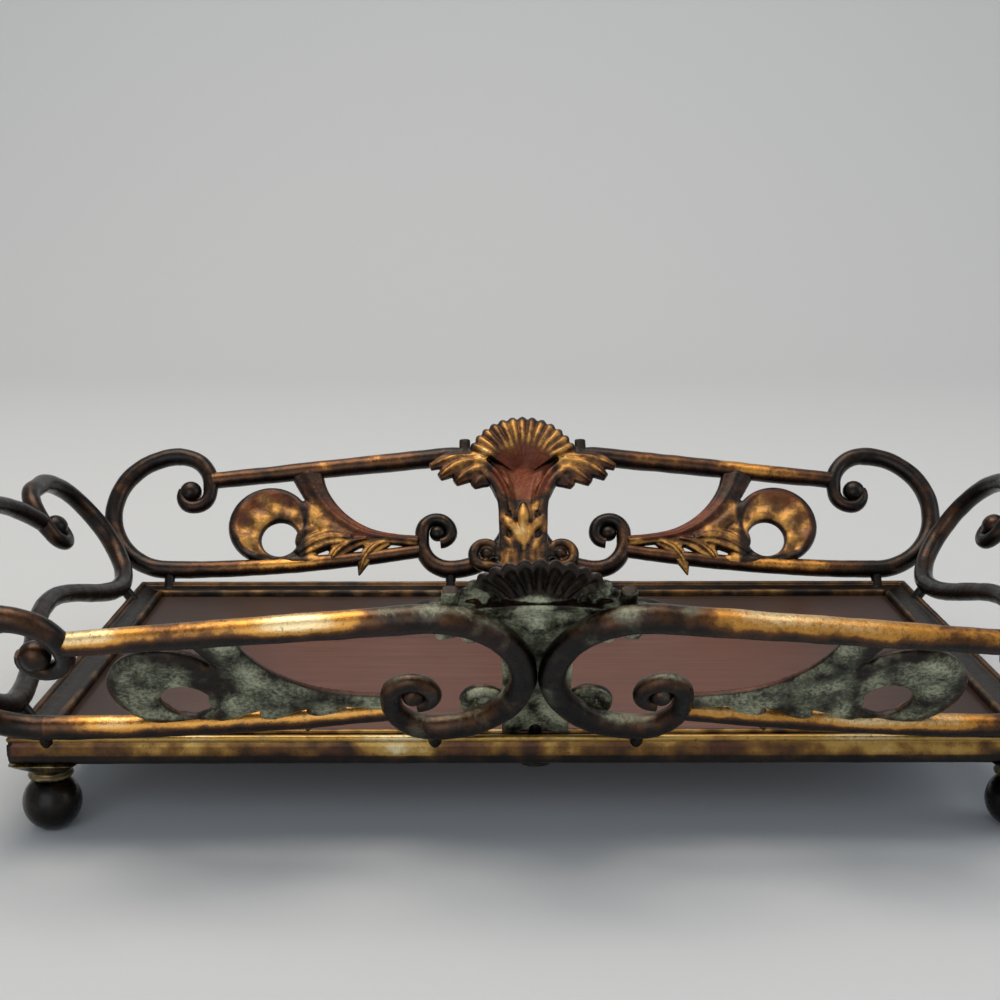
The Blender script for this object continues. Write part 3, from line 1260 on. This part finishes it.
@dataclass
class Foot:
    """A capital that flares from a round neck to the frame's corner, on its ball."""

    node_end: str
    material: bpy.types.Material
    around: int = 64
    flat_turn: float = 76.4
    collar: tuple = ((2.2, 0.0), (4.6, 0.0), (5.2, 0.25), (5.42, 0.75), (5.2, 1.25), (4.75, 1.5),
                     (4.65, 2.0))
    neck_r: float = 4.9
    neck_z: float = 2.2
    squareness: float = 11.0

    def square(self, half: float, corner: float, z: float, centre: Vector) -> np.ndarray:
        """A ring between a circle and a square.

        Args:
            half: half its width.
            corner: 2 for a circle, larger for squarer.
            z: its height.
            centre: the foot's axis.

        Returns:
            The ring's points, in millimetres.
        """
        turn = np.linspace(0.0, 2.0 * math.pi, self.around + 1)[:-1]
        c, s = np.cos(turn), np.sin(turn)
        stretch = (np.abs(c) ** corner + np.abs(s) ** corner) ** (-1.0 / corner)
        return np.column_stack([centre.x / MM + half * stretch * c,
                                centre.y / MM + half * stretch * s, np.full(self.around, z)])

    def build(self) -> None:
        """Makes the capital and the ball."""
        capital = "capital_" + self.node_end
        ball = "ball_foot_" + self.node_end
        low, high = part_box(capital)
        centre = (low + high) / 2.0
        base, top = low.z / MM, high.z / MM
        half = (high.x - low.x) / MM / 2.0
        rings = [self.square(r, 2.0, base + dz, centre) for r, dz in self.collar]
        rise = top - base - self.neck_z
        for share in np.linspace(0.0, 1.0, 15):
            flare = share ** 1.25
            corner = 2.0 + (self.squareness - 2.0) * smooth(0.05, 0.9, share)
            rings.append(self.square(self.neck_r + (half - self.neck_r) * flare, corner,
                                     base + self.neck_z + rise * share * 0.97, centre))
        rings.append(self.square(half - 0.25, self.squareness, top, centre))
        rings.append(self.square(half * 0.4, self.squareness, top, centre))
        self.piece("casting_" + capital, capital, rings)
        low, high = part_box(ball)
        centre = (low + high) / 2.0
        radius = (high.x - low.x) / MM / 2.0
        flat_turn = math.radians(self.flat_turn)
        middle = low.z / MM + radius * math.sin(flat_turn)
        top_turn = math.asin(min(1.0, (high.z / MM - middle) / radius))
        rings = []
        for angle in np.linspace(-flat_turn, top_turn, 40):
            rings.append(self.square(radius * math.cos(angle), 2.0,
                                     middle + radius * math.sin(angle), centre))
        self.piece("casting_" + ball, ball, rings)

    def piece(self, name: str, node: str, rings: Sequence[np.ndarray]) -> None:
        """Makes one casting from its rings and tints it."""
        shell = Shell()
        shell.loft(np.array(rings))
        obj = shell.object(name, lambda points: points * MM)
        place, facing = shape_of(obj)
        lumps = bumps(place, 4.5, 2.2)
        fine = bumps(place, 1.8, 6.1)
        is_capital = node.startswith("capital")
        low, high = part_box(node)
        share = (place[:, 2] - low.z) / (high.z - low.z)
        if is_capital:
            collar = smooth(0.34, 0.28, share) * smooth(0.1, 0.2, share)
            rub = 0.42 + 0.6 * lumps + 0.35 * fine + 0.5 * collar + 0.25 * smooth(0.8, 0.95, share)
            green = 0.2 + 0.3 * collar + 0.3 * lumps
        else:
            rub = 0.05 + 0.22 * smooth(0.3, 1.0, facing[:, 2]) + 0.25 * lumps
            green = 0.2 * smooth(0.0, 0.8, facing[:, 0]) + 0.2 * lumps
        tint(obj, rub, 0.3 + 0.4 * lumps, green)
        dress(obj, self.material, [node])


@dataclass
class Panel:
    """The thin board in the bottom, very slightly cockled."""

    material: bpy.types.Material
    cockle: float = 0.12
    stain_from: float = 0.4
    columns: int = 90
    rows: int = 50

    def build(self) -> None:
        """Makes the board."""
        low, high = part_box("base_panel")
        size = high - low
        soft = 0.4 * MM
        rings = []
        for x_share in np.linspace(0.0, 1.0, self.columns):
            edge = soft * float(1.0 - smooth(0.0, 0.012, x_share) * smooth(1.0, 0.988, x_share))
            y = np.linspace(low.y, high.y, self.rows)
            y_share = (y - low.y) / size.y
            rim = soft * (1.0 - smooth(0.0, 0.02, y_share) * smooth(1.0, 0.98, y_share))
            x = np.full(self.rows, low.x + size.x * x_share)
            wave = bumps(np.column_stack([x, y, np.zeros(self.rows)]), 55.0, 1.5)
            top = high.z - np.maximum(edge, rim) - (self.cockle * MM) * (1.0 + wave)
            rings.append(np.vstack([np.column_stack([x, y, top]),
                                    np.column_stack([x, y, np.full(self.rows, low.z)])[::-1]]))
        shell = Shell()
        shell.loft(np.array(rings))
        obj = shell.object("board_base_panel", lambda points: points)
        place, _ = shape_of(obj)
        cloud = bumps(place, 28.0, 5.1)
        layer = obj.data.attributes.new("edge", "FLOAT", "POINT")
        along = smooth(self.stain_from, 1.0, np.abs(place[:, 0]) / high.x + 0.12 * cloud)
        across = smooth(0.1, 0.9, place[:, 1] / high.y + 0.12 * cloud)
        layer.data.foreach_set("value", (0.95 * np.maximum(along, across)).astype(np.float32))
        dress(obj, self.material, ["base_panel"])


def keep_shapes(material: bpy.types.Material) -> None:
    """Dresses the small CAD nodes whose shapes are already right."""
    for name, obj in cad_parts.items():
        if name in ("foot_studs", "crest_screws") or name.endswith("_pegs"):
            obj.data.materials.clear()
            obj.data.materials.append(material)
            log.info("%s: keeps its CAD shape", name)


# ---------------------------------------------------------------- setting

def backdrop() -> None:
    """A plain pale floor that turns up into a wall well behind the tray."""
    wall_y, bend, height, half = 1.3, 0.5, 3.0, 4.0
    line = [(-half, 0.0), (wall_y - bend, 0.0)]
    line += [(wall_y - bend + bend * math.sin(a), bend - bend * math.cos(a))
             for a in np.radians(np.linspace(5.0, 90.0, 18))]
    line.append((wall_y, height))
    verts = [(x, y, z) for y, z in line for x in (-half, half)]
    faces = [(2 * i, 2 * i + 1, 2 * i + 3, 2 * i + 2) for i in range(len(line) - 1)]
    mesh = bpy.data.meshes.new("floor")
    mesh.from_pydata(verts, [], faces)
    mesh.polygons.foreach_set("use_smooth", [True] * len(faces))
    obj = bpy.data.objects.new("floor", mesh)
    bpy.context.scene.collection.objects.link(obj)
    made = bpy.data.materials.new("pale_floor")
    made.use_nodes = True
    shader = made.node_tree.nodes["Principled BSDF"]
    shader.inputs["Base Color"].default_value = linear("#c8d0d6")
    shader.inputs["Roughness"].default_value = 0.9
    mesh.materials.append(made)


@dataclass(frozen=True)
class Lamp:
    """A soft square studio lamp: sizes in metres, power in watts."""

    name: str
    place: tuple
    size: float
    power: float
    colour: str
    aim: tuple = (0.0, 0.0, 0.03)

    def hang(self) -> None:
        """Adds the lamp to the scene."""
        data = bpy.data.lights.new(self.name, "AREA")
        data.size = self.size
        data.energy = self.power
        data.color = linear(self.colour)[:3]
        obj = bpy.data.objects.new(self.name, data)
        bpy.context.scene.collection.objects.link(obj)
        way = Vector(self.aim) - Vector(self.place)
        obj.location = self.place
        obj.rotation_euler = way.to_track_quat("-Z", "Y").to_euler()


LAMPS = (
    Lamp("key", (-0.25, 0.15, 1.1), 0.7, 5.2, "#fff1de"),
    Lamp("side", (0.9, -0.2, 0.5), 0.6, 1.5, "#eef4ff"),
    Lamp("front", (-0.3, -1.1, 0.42), 0.9, 3.4, "#f4f7ff"),
    Lamp("wall", (0.0, 0.2, 1.8), 1.6, 12.5, "#ffeadb", aim=(0.0, 1.3, 0.7)),
)


@dataclass(frozen=True)
class Viewpoint:
    """The camera: its place in metres, how far it looks down and aside in degrees, its lens."""

    place: tuple = (-0.01025, -0.419, 0.15525)
    down: float = 11.77
    aside: float = -0.30
    lens_mm: float = 55.8
    sensor_mm: float = 36.0
    nearest: float = 0.01

    def take(self) -> None:
        """Adds the camera and makes it the scene's."""
        data = bpy.data.cameras.new("camera")
        data.lens = self.lens_mm
        data.sensor_width = self.sensor_mm
        data.clip_start = self.nearest
        camera = bpy.data.objects.new("camera", data)
        bpy.context.scene.collection.objects.link(camera)
        camera.location = self.place
        camera.rotation_euler = (math.radians(90.0 - self.down), 0.0, math.radians(self.aside))
        bpy.context.scene.camera = camera


def setting(sky: str = "#dcdad8", sky_strength: float = 0.5) -> None:
    """Floor, soft studio light and the camera.

    Args:
        sky: colour of the even light from all round.
        sky_strength: how strong it is.
    """
    backdrop()
    world = bpy.data.worlds.new("studio")
    bpy.context.scene.world = world
    world.use_nodes = True
    back = world.node_tree.nodes["Background"]
    back.inputs["Color"].default_value = linear(sky)
    back.inputs["Strength"].default_value = sky_strength
    for lamp in LAMPS:
        lamp.hang()
    Viewpoint().take()
    bpy.context.scene.view_settings.view_transform = "Standard"


# how much of the bars' tops is rubbed to gold: the front is handled most
RAIL_GOLD = {Side.BACK: 0.42, Side.FRONT: 0.85}


def main() -> None:
    """Builds the tray's looks in order."""
    logging.basicConfig(level=logging.INFO, format="%(name)s: %(message)s")
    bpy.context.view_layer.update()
    low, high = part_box("frame_back")
    half_w, half_d, top_z = high.x / MM, high.y / MM, high.z / MM
    setting()
    bar = BAR_BRONZE.material()
    gilt = GILT_CASTING.material()
    moulding = MOULDING_BRONZE.material()
    foot = FOOT_BRONZE.material()
    keep_shapes(foot)
    Panel(StainedWood().material()).build()
    frame_low = low.z / MM
    for side in Side:
        is_long = side in (Side.FRONT, Side.BACK)
        reach, half_length = (half_d, half_w) if is_long else (half_w, half_d)
        Moulding(side, half_length, reach, frame_low, top_z - frame_low, moulding).build()
    for end in ("front_left", "front_right", "back_left", "back_right"):
        Foot(end, foot).build()
    bars = BarMaker(bar)
    for side, gold in RAIL_GOLD.items():
        gallery = LongGallery(side, half_w, half_d, top_z, bars, gold=gold)
        gallery.build()
        for mirrored in (False, True):
            LeafCasting(gilt).build(gallery, mirrored)
        ShellCrest(gilt).build(gallery)
    for side in (Side.LEFT, Side.RIGHT):
        EndGallery(side, half_w, half_d, top_z, bars).build()


if __name__ == "__main__":
    main()
